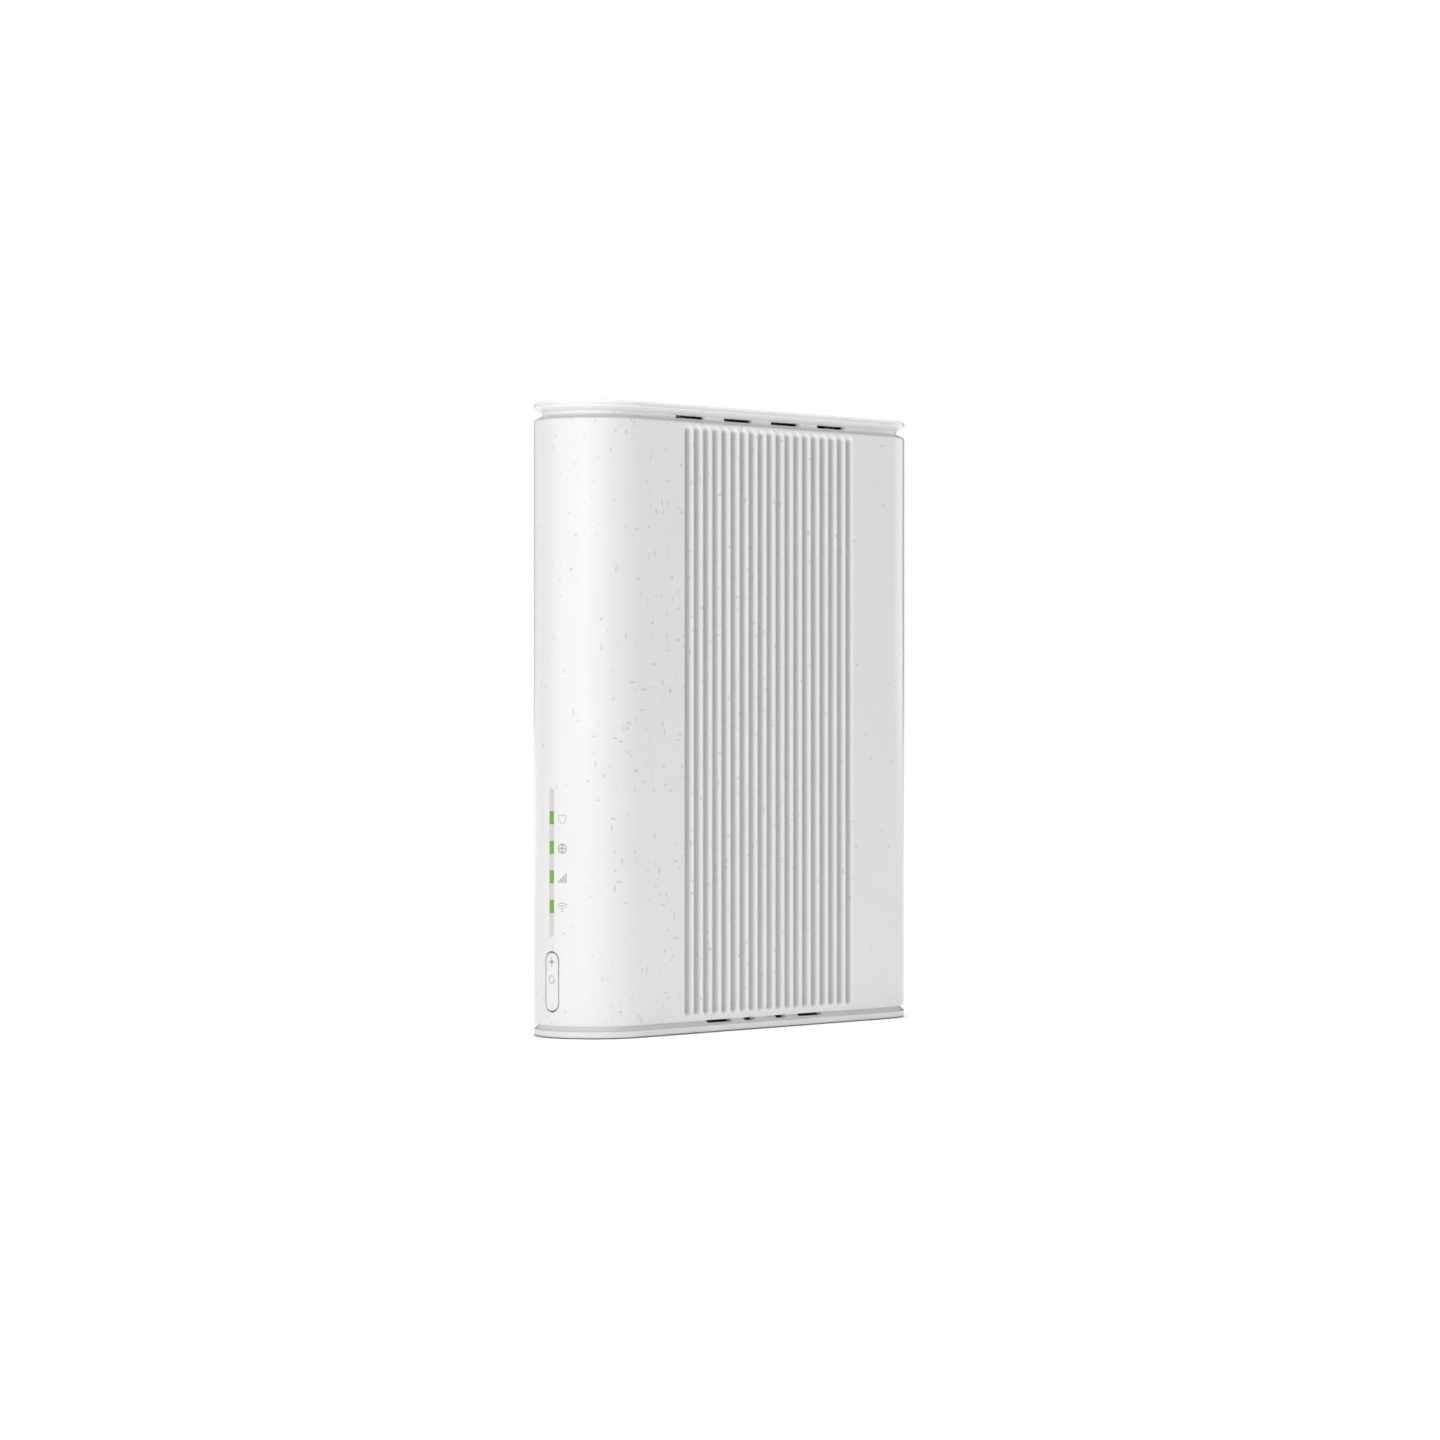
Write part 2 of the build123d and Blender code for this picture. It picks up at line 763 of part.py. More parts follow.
# ---- rear panel and sockets ----
mouth_proud = 0.3      # how far the sockets stand out of the rear panel
jack_half_x = port_axis - board_face
jack_half_z = 8.0
jack_y = (panel_face - 21.0, panel_face + mouth_proud)
jack_metal = 0.35
socket_half_z = 5.95
socket_x = (-4.1, 4.1)
socket_depth = 14.5
latch_half_z = 3.2
latch_depth = 1.9
window_rim = 0.3       # how far the shield's window stands back from the socket's mouth
contact_count = 8
contact_pitch = 1.02
contact_width = 0.4
dc_body_radius = 3.9
dc_bore = 3.1
dc_bore_depth = 9.5
dc_pin = 1.0
dc_body_depth = 13.0
dc_body_top = 5.0
dc_body_half = 4.7
washer_radius = 6.5
thread_radius = 4.76
root_radius = 4.6
coax_tip = rear - 0.5
nut_flats = 11.0
nut_depth = 2.0
washer_depth = 0.5
power_radius = 3.8
power_travel = 2.0
power_tip = panel_face + 2.5
reset_radius = 1.2
reset_travel = 0.3
reset_hole = 1.3
pin_hole_slip = 0.4


def rear_panel():
    panel = slab_y(plate_half, (bay_bottom - 2, bay_top + 2), bay_corner, (panel_back, panel_face))
    collar_z = (bay_bottom + bay_slip, bay_top - bay_slip)
    collar_y = (panel_face, rear)
    collar = slab_y(bay_half - bay_slip, collar_z, bay_corner - bay_slip, collar_y)
    collar -= slab_y(bay_half - bay_slip - collar_wall,
                     (collar_z[0] + collar_wall, collar_z[1] - collar_wall),
                     bay_corner - bay_slip - collar_wall, collar_y)
    panel += collar & prism(collar_recess, (0, height))
    through = (panel_back, panel_face)
    for z in jack_heights:
        half_x = jack_half_x + slip
        panel -= box((port_axis - half_x, port_axis + half_x), through,
                     (z - jack_half_z - slip, z + jack_half_z + slip))
    for z, radius in ((dc_z, dc_body_radius + slip), (coax_z, thread_radius + slip),
                      (reset_z, reset_hole), (power_z, power_radius + pin_hole_slip)):
        panel -= rod_y(radius, through, port_axis, z)
    for z in panel_screw_heights:
        panel -= rod_y(small_screw + slip, through, port_axis, z)
    return panel


def panel_screws():
    return group([screw_y(port_axis, z, panel_face, -1, panel_depth + panel_screw_bite)
                  for z in panel_screw_heights])


def ethernet_shields():
    shields = []
    for z in jack_heights:
        x = (port_axis - jack_half_x, port_axis + jack_half_x)
        can = box(x, jack_y, (z - jack_half_z, z + jack_half_z))
        can -= box((x[0], x[1] - jack_metal), (jack_y[0] + jack_metal, jack_y[1] - jack_metal),
                   (z - jack_half_z + jack_metal, z + jack_half_z - jack_metal))
        window = (jack_y[1] - jack_metal, jack_y[1])
        can -= box((socket_x[0] - latch_depth - window_rim, socket_x[1] + window_rim), window,
                   (z - socket_half_z - window_rim, z + socket_half_z + window_rim))
        shields.append(can)
    return group(shields)


def ethernet_inserts():
    inserts = []
    gap = jack_metal + close_fit
    for z in jack_heights:
        insert = box((port_axis - jack_half_x, port_axis + jack_half_x - gap),
                     (jack_y[0] + gap, jack_y[1] - gap), (z - jack_half_z + gap, z + jack_half_z - gap))
        mouth = (jack_y[1] - socket_depth, jack_y[1])
        insert -= box(socket_x, mouth, (z - socket_half_z, z + socket_half_z))
        insert -= box((socket_x[0] - latch_depth, socket_x[0]), mouth, (z - latch_half_z, z + latch_half_z))
        inserts.append(insert)
    return group(inserts)


def ethernet_contacts():
    contacts = []
    root = jack_y[1] - socket_depth
    line = Polyline((1.6, root), (3.5, root + 9.5), (3.7, root + 9.5), (2.0, root), close=True)
    blade = make_face(line)
    for z in jack_heights:
        for index in range(contact_count):
            low = z + (index - (contact_count - 1) / 2) * contact_pitch - contact_width / 2
            contacts.append(Pos(0, 0, low) * extrude(blade, contact_width))
    return group(contacts)


coax_body_y = (panel_back - 11.0, panel_back)
coax_bore = 3.0
coax_body_half = 5.6
coax_body_wall = 2.0
coax_chamfer = 0.5
contact_tube = 0.8
contact_bore = 0.5
contact_bore_depth = 8.0
insulator_sink = 0.6
contact_sink = 1.2


def coax_connector():
    nut_face = panel_face + washer_depth + nut_depth
    barrel = rod_y(thread_radius, (nut_face, coax_tip), port_axis, coax_z)
    barrel = chamfer(barrel.edges().sort_by(Axis.Y)[-1:], coax_chamfer)
    barrel += rod_y(root_radius, (panel_back, nut_face), port_axis, coax_z)
    block = box((board_face, coax_body_half), coax_body_y,
                (coax_z - coax_body_half, coax_z + coax_body_half))
    bore_y = (coax_body_y[0] + coax_body_wall, coax_tip)
    return block + barrel - rod_y(coax_bore, bore_y, port_axis, coax_z)


def coax_insulator():
    root = coax_body_y[0] + coax_body_wall
    plug = rod_y(coax_bore - close_fit, (root, coax_tip - insulator_sink), port_axis, coax_z)
    return plug - rod_y(contact_tube + close_fit, (root + 1, coax_tip), port_axis, coax_z)


def coax_contact():
    root = coax_body_y[0] + coax_body_wall + 1
    tube = rod_y(contact_tube, (root, coax_tip - contact_sink), port_axis, coax_z)
    return tube - rod_y(contact_bore, (coax_tip - contact_bore_depth, coax_tip), port_axis, coax_z)


def coax_washer():
    washer = rod_y(washer_radius, (panel_face, panel_face + washer_depth), port_axis, coax_z)
    return washer - rod_y(root_radius + close_fit, (panel_face, rear), port_axis, coax_z)


def coax_nut():
    hexagon = Plane.XZ * RegularPolygon(nut_flats / 2, 6, major_radius=False)
    nut = Pos(port_axis, panel_face + washer_depth + nut_depth, coax_z) * extrude(hexagon, nut_depth)
    return nut - rod_y(root_radius + close_fit, (panel_face, rear), port_axis, coax_z)


def dc_jack():
    face = panel_face + mouth_proud
    body = box((board_face, dc_body_top), (panel_back - dc_body_depth, panel_back),
               (dc_z - dc_body_half, dc_z + dc_body_half))
    body += rod_y(dc_body_radius, (panel_back, face), port_axis, dc_z)
    return body - rod_y(dc_bore, (face - dc_bore_depth, face + overrun), port_axis, dc_z)


def dc_centre_pin():
    root = panel_face + mouth_proud - dc_bore_depth
    pin = rod_y(dc_pin, (root, panel_face - 0.5), port_axis, dc_z)
    return fillet(pin.edges().sort_by(Axis.Y)[-1:], 0.4)


switch_front = panel_back - 5.0
power_rod_radius = 1.5
power_rod_sink = 3.0   # how far the rod reaches into its switch at rest
power_neck = 2.6       # from the switch to the back of the button's cap
power_flange = 1.0
power_flange_y = (panel_back - 1.5, panel_back - 0.5)
power_body_half = 4.2
power_body_depth = 12.0
power_round = 0.5


def power_button():
    neck = switch_front + power_neck
    cap = rod_y(power_radius, (neck, power_tip), port_axis, power_z)
    cap = fillet(cap.edges().sort_by(Axis.Y)[-1:], power_round)
    cap += rod_y(power_radius + power_flange, power_flange_y, port_axis, power_z)
    return cap + rod_y(power_rod_radius, (switch_front - power_rod_sink, neck), port_axis, power_z)


def power_switch():
    body = box((board_face, power_body_half), (switch_front - power_body_depth, switch_front),
               (power_z - power_body_half, power_z + power_body_half))
    socket = (switch_front - power_rod_sink - power_travel - running_gap, switch_front)
    return body - rod_y(power_rod_radius + running_gap, socket, port_axis, power_z)


reset_face = panel_back - 3.4
reset_plunger = 1.4    # how far the plunger stands out of its switch, and into it
reset_body_top = 2.6
reset_body_half = 3.0
reset_body_depth = 3.6


def reset_switch():
    body = box((board_face, reset_body_top), (reset_face - reset_body_depth, reset_face),
               (reset_z - reset_body_half, reset_z + reset_body_half))
    socket = (reset_face - reset_plunger - reset_travel - running_gap, reset_face)
    return body - rod_y(reset_radius + slip, socket, port_axis, reset_z)


def reset_button():
    return rod_y(reset_radius, (reset_face - reset_plunger, reset_face + reset_plunger), port_axis, reset_z)


# ---- antennas and leads ----
antenna_depth = 1.0
antenna_half = 8.0


def front_antenna():
    y = (front_board_back - antenna_depth, front_board_back)
    return box((-antenna_half, antenna_half), y, antenna_front)


def rear_antenna():
    return box((-antenna_half, antenna_half), (panel_back, panel_back + antenna_depth), antenna_rear)


lead_radius = 0.6
socket_z = board_top - 6.0
front_socket_y = board_front_y + 8.0
rear_socket_y = board_rear_y - 18.0
socket_top = board_face + 1.4
socket_radius = 1.3
lead_x = 4.0
lead_bend = 4.0


def antenna_sockets():
    return group([rod_x(socket_radius, (board_face, socket_top), y, socket_z)
                  for y in (front_socket_y, rear_socket_y)])


def lead(points, radii):
    path = FilletPolyline(*points, radius=radii)
    profile = Plane(origin=path @ 0, z_dir=path % 0) * Circle(lead_radius)
    return sweep(profile, path=path)


def antenna_leads():
    low = antenna_front[1] - 14.0
    front_lead = lead([(lead_x, front_board_back + lead_radius, low),
                       (lead_x, front_board_back + 7.0, low),
                       (lead_x, front_socket_y, socket_z),
                       (socket_top, front_socket_y, socket_z)], [lead_bend, lead_bend])
    high = antenna_rear[0] + 0.4 * (antenna_rear[1] - antenna_rear[0])
    rear_lead = lead([(lead_x, panel_back - lead_radius, high),
                      (lead_x, panel_back - 8.0, high),
                      (lead_x, rear_socket_y, socket_z),
                      (socket_top, rear_socket_y, socket_z)], [lead_bend, lead_bend])
    return group([front_lead, rear_lead])


# ---- flat cable between the boards ----
cable_z = (strip_bottom + 11.0, strip_bottom + 19.0)
cable_depth = 0.3
cable_x = 3.0
cable_y = board_front_y + 7.0
connector_depth = 2.4
connector_half = 1.5
connector_rim = 1.0    # how far a connector runs past each edge of the cable
cable_bend = 4.0


def cable_connectors():
    z = (cable_z[0] - connector_rim, cable_z[1] + connector_rim)
    front_one = box((cable_x - connector_half, cable_x + connector_half),
                    (front_board_back, front_board_back + connector_depth), z)
    main_one = box((board_face, board_face + connector_depth),
                   (cable_y - connector_half, cable_y + connector_half), z)
    return group([front_one, main_one])


def flat_cable():
    start = (cable_x, front_board_back + connector_depth)
    end = (board_face + connector_depth, cable_y)
    path = FilletPolyline(start, (cable_x, cable_y), end, radius=cable_bend)
    strip = trace(path, cable_depth)
    return Pos(0, 0, cable_z[0]) * extrude(strip, cable_z[1] - cable_z[0])


nodes = [
    body_shell, top_cap, top_vent_frame, base_plate, base_vent_frame, rating_label, rubber_feet,
    light_bar, light_lenses, light_shroud, light_emitters, front_board, front_board_screws,
    front_button, button_guide, front_switch, front_switch_plunger,
    chassis, case_screws, top_screws, main_board, board_screws, main_heat_sink, rear_heat_sink,
    heat_sink_screws, thermal_pads, modem_chip, radio_chips, memory_chips, tuner_shield,
    radio_shields, power_capacitors, power_inductors, network_transformers,
    rear_panel, panel_screws, ethernet_shields, ethernet_inserts, ethernet_contacts,
    coax_connector, coax_insulator, coax_contact, coax_washer, coax_nut,
    dc_jack, dc_centre_pin, power_button, power_switch, reset_button, reset_switch,
    front_antenna, rear_antenna, antenna_sockets, antenna_leads, cable_connectors, flat_cable,
]

for make in nodes:
    save(make.__name__, make())
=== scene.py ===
import json
import math
import bpy
import bmesh
from mathutils import Matrix, Vector


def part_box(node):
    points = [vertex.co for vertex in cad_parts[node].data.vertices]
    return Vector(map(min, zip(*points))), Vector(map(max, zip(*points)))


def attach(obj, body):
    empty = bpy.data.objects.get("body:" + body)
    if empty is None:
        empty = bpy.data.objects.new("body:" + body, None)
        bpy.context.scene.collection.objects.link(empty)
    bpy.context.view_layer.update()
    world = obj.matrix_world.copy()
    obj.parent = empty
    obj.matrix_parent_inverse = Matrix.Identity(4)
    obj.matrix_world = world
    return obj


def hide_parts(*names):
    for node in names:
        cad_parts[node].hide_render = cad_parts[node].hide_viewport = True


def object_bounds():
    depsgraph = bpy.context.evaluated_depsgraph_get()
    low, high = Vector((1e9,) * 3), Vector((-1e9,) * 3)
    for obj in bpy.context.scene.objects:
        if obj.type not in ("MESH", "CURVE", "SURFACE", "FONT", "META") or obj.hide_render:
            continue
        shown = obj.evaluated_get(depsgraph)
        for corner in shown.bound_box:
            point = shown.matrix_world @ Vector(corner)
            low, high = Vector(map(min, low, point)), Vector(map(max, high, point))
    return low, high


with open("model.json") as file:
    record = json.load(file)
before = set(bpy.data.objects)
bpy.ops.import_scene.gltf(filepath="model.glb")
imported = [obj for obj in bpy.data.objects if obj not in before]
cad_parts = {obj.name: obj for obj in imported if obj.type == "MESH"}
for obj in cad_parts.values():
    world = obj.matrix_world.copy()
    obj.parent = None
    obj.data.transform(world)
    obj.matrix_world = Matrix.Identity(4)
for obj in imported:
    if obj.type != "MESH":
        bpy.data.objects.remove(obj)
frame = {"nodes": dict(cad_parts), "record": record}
nodes = frame["nodes"]
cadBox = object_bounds()
mm = 0.001


class Wire:
    # one output of a shader tree; arithmetic on it adds Math nodes
    def __init__(self, socket):
        self.socket = socket

    def node(self, kind, settings=None, sockets=None, out=0):
        tree = self.socket.id_data
        made = tree.nodes.new("ShaderNode" + kind)
        for name, value in (settings or {}).items():
            if name == "stops":
                fillRamp(made.color_ramp, value)
            else:
                setattr(made, name, value)
        for name, value in (sockets or {}).items():
            if isinstance(value, Wire):
                tree.links.new(value.socket, made.inputs[name])
            else:
                made.inputs[name].default_value = value
        return Wire(made.outputs[out])

    def maths(self, operation, first, second=0.0):
        return self.node("Math", {"operation": operation}, {0: first, 1: second})

    def __add__(self, other):
        return self.maths("ADD", self, other)

    def __sub__(self, other):
        return self.maths("SUBTRACT", self, other)

    def __rsub__(self, other):
        return self.maths("SUBTRACT", other, self)

    def __mul__(self, other):
        return self.maths("MULTIPLY", self, other)

    def __lt__(self, other):
        return self.maths("LESS_THAN", self, other)

    __radd__ = __add__
    __rmul__ = __mul__


def fillRamp(ramp, stops):
    while len(ramp.elements) < len(stops):
        ramp.elements.new(1.0)
    for element, (place, colour) in zip(ramp.elements, stops):
        element.position = place
        element.color = colour


def startMaterial(name, roughness, **constants):
    material = bpy.data.materials.new(name)
    material.use_nodes = True
    shader = material.node_tree.nodes["Principled BSDF"]
    shader.inputs["Roughness"].default_value = roughness
    for socket, value in constants.items():
        shader.inputs[socket.replace("_", " ")].default_value = value
    coords = material.node_tree.nodes.new("ShaderNodeTexCoord")
    place = Wire(coords.outputs["Object"])
    inMillimetres = place.node("VectorMath", {"operation": "SCALE"}, {0: place, "Scale": 1 / mm})
    return material, shader, inMillimetres


def feed(shader, **links):
    for name, wire in links.items():
        shader.id_data.links.new(wire.socket, shader.inputs[name.replace("_", " ")])


def noise(place, scale, detail=2.0, rough=0.5):
    sockets = {"Vector": place, "Scale": scale, "Detail": detail, "Roughness": rough}
    return place.node("TexNoise", None, sockets)


def blendColours(factor, first, second):
    return factor.node("Mix", {"data_type": "RGBA"}, {0: factor, 6: first, 7: second}, 2)


def step(value, low, high):
    # rises smoothly from 0 at low to 1 at high
    sockets = {"Value": value, "From Min": low, "From Max": high, "To Min": 0.0, "To Max": 1.0}
    return value.node("MapRange", {"interpolation_type": "SMOOTHSTEP"}, sockets)


def relief(place, height, strength, depth):
    return place.node("Bump", None, {"Height": height, "Strength": strength, "Distance": depth * mm})


def fleckLayer(place, cell, stretch, turn, size, share, thinning):
    # scattered specks: one in each cell of the grid, kept in a share of the cells
    scale = [s / cell for s in stretch]
    turned = place.node("Mapping", None, {"Vector": place, "Rotation": turn, "Scale": scale})
    cells = {"Vector": turned, "Scale": 1.0, "Randomness": 1.0}
    distance = turned.node("TexVoronoi", {"feature": "F1"}, cells, "Distance")
    chance = turned.node("TexVoronoi", {"feature": "F1"}, cells, "Color")
    split = chance.node("SeparateColor", None, {0: chance}, 0)
    tint = chance.node("SeparateColor", None, {0: chance}, 1)
    spot = 1 - step(distance, size * 0.6, size)
    return spot * (split * thinning < share) * (tint * 0.75 + 0.25)


recycledPlastic = {
    "tone": (0.80, 0.80, 0.795, 1), "shade": (0.765, 0.765, 0.76, 1), "fleck": (0.33, 0.33, 0.34, 1),
    "roughness": 0.20, "gloss": 0.2, "grain": 5.0, "fleckStrength": 0.37,
    "flecks": [
        {"cell": 3.6, "stretch": (1, 1, 1), "turn": (0.3, 0.2, 0.5), "size": 0.20, "share": 0.32},
        {"cell": 5.5, "stretch": (1, 1, 1), "turn": (1.1, 0.7, 0.1), "size": 0.14, "share": 0.48},
        {"cell": 5.0, "stretch": (2.6, 2.6, 0.9), "turn": (0.5, 0.3, 0.2), "size": 0.28, "share": 0.20},
        {"cell": 5.0, "stretch": (2.6, 0.9, 2.6), "turn": (0.9, 0.1, 0.7), "size": 0.28, "share": 0.20},
    ],
}


# where the upright grooves are, in mm, and how much painted shade darkens their bottoms
paintedGrooveShade = {"middle": 1.3, "halfWidth": 44.4, "bottom": 6.1, "top": 212.7, "edge": 1.5,
              "deep": 19.65, "shallow": 20.9, "tone": (0.36, 0.36, 0.365, 1), "strength": 0.7}


# marks the groove bottoms where painted shade is laid into the colour
def paintedGrooveShadeMask(place, look):
    out = place.node("SeparateXYZ", None, {0: place}, 0)
    along = place.node("SeparateXYZ", None, {0: place}, 1) - look["middle"]
    up = place.node("SeparateXYZ", None, {0: place}, 2)
    depth = 1 - step(out.maths("ABSOLUTE", out), look["deep"], look["shallow"])
    half = look["halfWidth"]
    inside = 1 - step(along.maths("ABSOLUTE", along), half, half + look["edge"])
    below = 1 - step(up, look["top"] - look["edge"], look["top"])
    return depth * inside * below * step(up, look["bottom"], look["bottom"] + look["edge"])


def makeRecycledPlastic(name, look, fleckShare=1.0):
    material, shader, place = startMaterial(name, look["roughness"], Specular_IOR_Level=look["gloss"])
    warp = place.node("TexNoise", None, {"Vector": place, "Scale": 0.9, "Detail": 1.0}, "Color")
    bent = place.node("VectorMath", {"operation": "MULTIPLY_ADD"},
                      {0: warp, 1: (0.8, 0.8, 0.8), 2: place})
    cloud = noise(place, 0.05, 3.0)
    colour = blendColours(cloud, look["tone"], look["shade"])
    # the flecks thin out towards the back of the case, and on the rounded front, where the thinning is
    # a painted highlight standing in for the glare there
    along = place.node("SeparateXYZ", None, {0: place}, 1)
    thinning = step(along, -10, 60) * 4 + (1 - step(along, -84, -74)) * 2 + 1
    for layer in look["flecks"]:
        spots = fleckLayer(bent, layer["cell"], layer["stretch"], layer["turn"], layer["size"],
                           layer["share"] * fleckShare, thinning)
        colour = blendColours(spots * look["fleckStrength"], colour, look["fleck"])
    # painted shade: the groove bottoms are darkened in the base colour to stand in for the shade that
    # falls in them
    paintedShade = paintedGrooveShadeMask(place, paintedGrooveShade) * paintedGrooveShade["strength"]
    colour = blendColours(paintedShade, colour, paintedGrooveShade["tone"])
    grain = noise(place, look["grain"], 3.0)
    feed(shader, Base_Color=colour,
         Roughness=(noise(place, 0.4, 2.0) - 0.5) * 0.08 + look["roughness"],
         Normal=relief(place, grain, 0.10, 0.05))
    return material


def makeMoulded(name, colour, roughness, grain=3.0, strength=0.15):
    material, shader, place = startMaterial(name, roughness)
    darker = [c * 0.82 for c in colour[:3]] + [1]
    cloud = noise(place, 0.25, 4.0)
    feed(shader, Base_Color=blendColours(cloud, colour, darker),
         Roughness=(noise(place, 1.3, 3.0) - 0.5) * 0.15 + roughness,
         Normal=relief(place, noise(place, grain, 4.0), strength, 0.06))
    return material


def makeMetal(name, colour, roughness, grainScale=(0.4, 6.0, 0.4)):
    material, shader, place = startMaterial(name, roughness, Metallic=1.0)
    along = place.node("Mapping", None, {"Vector": place, "Scale": grainScale})
    lines = noise(along, 2.0, 4.0, 0.6)
    darker = [c * 0.8 for c in colour[:3]] + [1]
    feed(shader, Base_Color=blendColours(noise(place, 0.6, 4.0), colour, darker),
         Roughness=(lines - 0.5) * 0.25 + roughness,
         Normal=relief(place, lines, 0.12, 0.03))
    return material


def makeBoard(name):
    material, shader, place = startMaterial(name, 0.35, Coat_Weight=0.4)
    cells = place.node("TexVoronoi", {"feature": "F1", "distance": "MANHATTAN"},
                       {"Vector": place, "Scale": 0.45})
    traces = step(cells.maths("PINGPONG", cells, 0.16), 0.04, 0.08)
    mask = (0.012, 0.16, 0.075, 1)
    copper = (0.03, 0.24, 0.11, 1)
    feed(shader, Base_Color=blendColours(traces, mask, copper), Normal=relief(place, traces, 0.3, 0.04))
    return material


def makeLight(name, look):
    material, shader, place = startMaterial(name, look["roughness"], Emission_Strength=look["strength"])
    height = place.node("SeparateXYZ", None, {0: place}, 2)
    # each window is brightest in its middle and fades to its ends
    phase = (height - look["first"]) * (1 / look["pitch"]) + 0.5
    across = phase.maths("FRACT", phase) - 0.5
    away = across.maths("ABSOLUTE", across)
    middle = 1 - step(away, 0.05, look["length"] / look["pitch"] / 2)
    grain = noise(place, 4.0, 3.0)
    glow = blendColours(middle * 0.8 + grain * 0.2, look["edge"], look["core"])
    feed(shader, Base_Color=blendColours(grain, look["edge"], look["core"]), Emission_Color=glow)
    return material


greenLight = {"roughness": 0.35, "strength": 0.16, "length": 4.5, "pitch": 10.2, "first": 45.5,
              "core": (0.21, 0.42, 0.06, 1), "edge": (0.10, 0.24, 0.035, 1)}

finishes = {
    "white_plastic": makeRecycledPlastic("recycledWhite", recycledPlastic),
    "light_plastic": makeMoulded("frostedStrip", (0.68, 0.68, 0.67, 1), 0.4, 4.0, 0.08),
    "green_lens": makeLight("greenWindow", greenLight),
    "rubber": makeMoulded("footRubber", (0.055, 0.055, 0.058, 1), 0.75, 5.0, 0.4),
    "label_film": makeMoulded("blankLabel", (0.66, 0.66, 0.65, 1), 0.35, 8.0, 0.05),
    "grey_plastic": makeMoulded("greyMoulding", (0.42, 0.43, 0.44, 1), 0.45),
    "black_plastic": makeMoulded("blackMoulding", (0.018, 0.018, 0.02, 1), 0.42),
    "circuit_board": makeBoard("solderMask"),
    "aluminium": makeMetal("extrudedAluminium", (0.78, 0.79, 0.80, 1), 0.38, (6.0, 6.0, 0.3)),
    "tinned_steel": makeMetal("tinnedSteel", (0.70, 0.71, 0.72, 1), 0.30),
    "zinc_screw": makeMetal("zincPlate", (0.58, 0.59, 0.61, 1), 0.32, (3.0, 3.0, 3.0)),
    "nickel_brass": makeMetal("nickelPlate", (0.74, 0.72, 0.67, 1), 0.22, (5.0, 0.5, 5.0)),
    "gold_contact": makeMetal("goldPlate", (0.86, 0.62, 0.24, 1), 0.25),
    "white_insulator": makeMoulded("whiteInsulator", (0.76, 0.76, 0.74, 1), 0.4),
    "thermal_pad": makeMoulded("thermalPad", (0.16, 0.28, 0.45, 1), 0.8),
    "chip_resin": makeMoulded("chipResin", (0.02, 0.02, 0.022, 1), 0.55, 6.0, 0.3),
    "capacitor_sleeve": makeMoulded("capacitorSleeve", (0.03, 0.035, 0.06, 1), 0.3),
    "ferrite": makeMoulded("ferrite", (0.07, 0.07, 0.075, 1), 0.6),
    "lead_jacket": makeMoulded("leadJacket", (0.03, 0.03, 0.032, 1), 0.45),
    "cable_film": makeMoulded("cableFilm", (0.72, 0.72, 0.70, 1), 0.35),
    "emitter": makeMoulded("emitterResin", (0.80, 0.78, 0.55, 1), 0.35),
}
for part in frame["record"]["subparts"]:
    nodes[part["node"]].material_slots[0].material = finishes[part["material_slot"]]
# the cap and the base show hardly any flecks
sparseWhite = makeRecycledPlastic("sparseWhite", recycledPlastic, 0.25)
for name in ("top_cap", "base_plate"):
    nodes[name].material_slots[0].material = sparseWhite
print("finishes done:", len(finishes) + 1)


lowCorner, highCorner = cadBox
endRadius = highCorner.x
endCentre = -lowCorner.y - endRadius
# the printed drawings: heights are for those beside the lights, and the button's ones
# are counted up from its middle
symbolPrint = {"lift": 0.02, "right": 4.6, "line": 0.40, "size": 0.84,
               "heights": (75.6, 65.5, 55.3, 45.3),
               "buttonLamp": 6.9, "buttonPairing": 0.8, "buttonSize": 1.1}
inkTones = {"dark": (0.36, 0.36, 0.37, 1), "mid": (0.52, 0.52, 0.53, 1), "light": (0.62, 0.62, 0.63, 1)}


def arcStroke(mesh, centre, radius, start, sweep, line):
    # a curved line in the XZ plane, spun from one short edge
    turn = Matrix.Rotation(math.radians(-start), 3, "Y")
    hub = Vector((centre[0], 0, centre[1]))
    ends = [turn @ Vector((radius + side * line / 2, 0, 0)) + hub for side in (-1, 1)]
    edge = mesh.edges.new([mesh.verts.new(end) for end in ends])
    steps = max(6, int(abs(sweep) / 9))
    bmesh.ops.spin(mesh, geom=[edge, *edge.verts], cent=hub, axis=(0, -1, 0),
                   angle=math.radians(sweep), steps=steps, use_merge=abs(sweep) >= 360)


def lineStroke(mesh, start, end, line, taper=1.0):
    # a straight line in the XZ plane, pulled out from one short edge in even steps
    along = Vector((end[0] - start[0], 0, end[1] - start[1]))
    across = Vector((along.z, 0, -along.x)).normalized() * line / 2
    origin = Vector((start[0], 0, start[1]))
    edge = mesh.edges.new([mesh.verts.new(origin - across), mesh.verts.new(origin + across)])
    steps = max(1, round(along.length / 0.5))
    for index in range(steps):
        grown = bmesh.ops.extrude_edge_only(mesh, edges=[edge])
        verts = [item for item in grown["geom"] if isinstance(item, bmesh.types.BMVert)]
        bmesh.ops.translate(mesh, verts=verts, vec=along / steps)
        centre = sum((vert.co for vert in verts), Vector()) / 2
        scale = (1 + (taper - 1) * (index + 1) / steps) / (1 + (taper - 1) * index / steps)
        bmesh.ops.scale(mesh, verts=verts, vec=(scale,) * 3, space=Matrix.Translation(-centre))
        edge = [item for item in grown["geom"] if isinstance(item, bmesh.types.BMEdge)][0]


def makePiece(mesh, name, material, body):
    data = bpy.data.meshes.new(name)
    mesh.to_mesh(data)
    mesh.free()
    piece = bpy.data.objects.new(name, data)
    bpy.context.scene.collection.objects.link(piece)
    data.materials.append(material)
    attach(piece, body)
    return piece


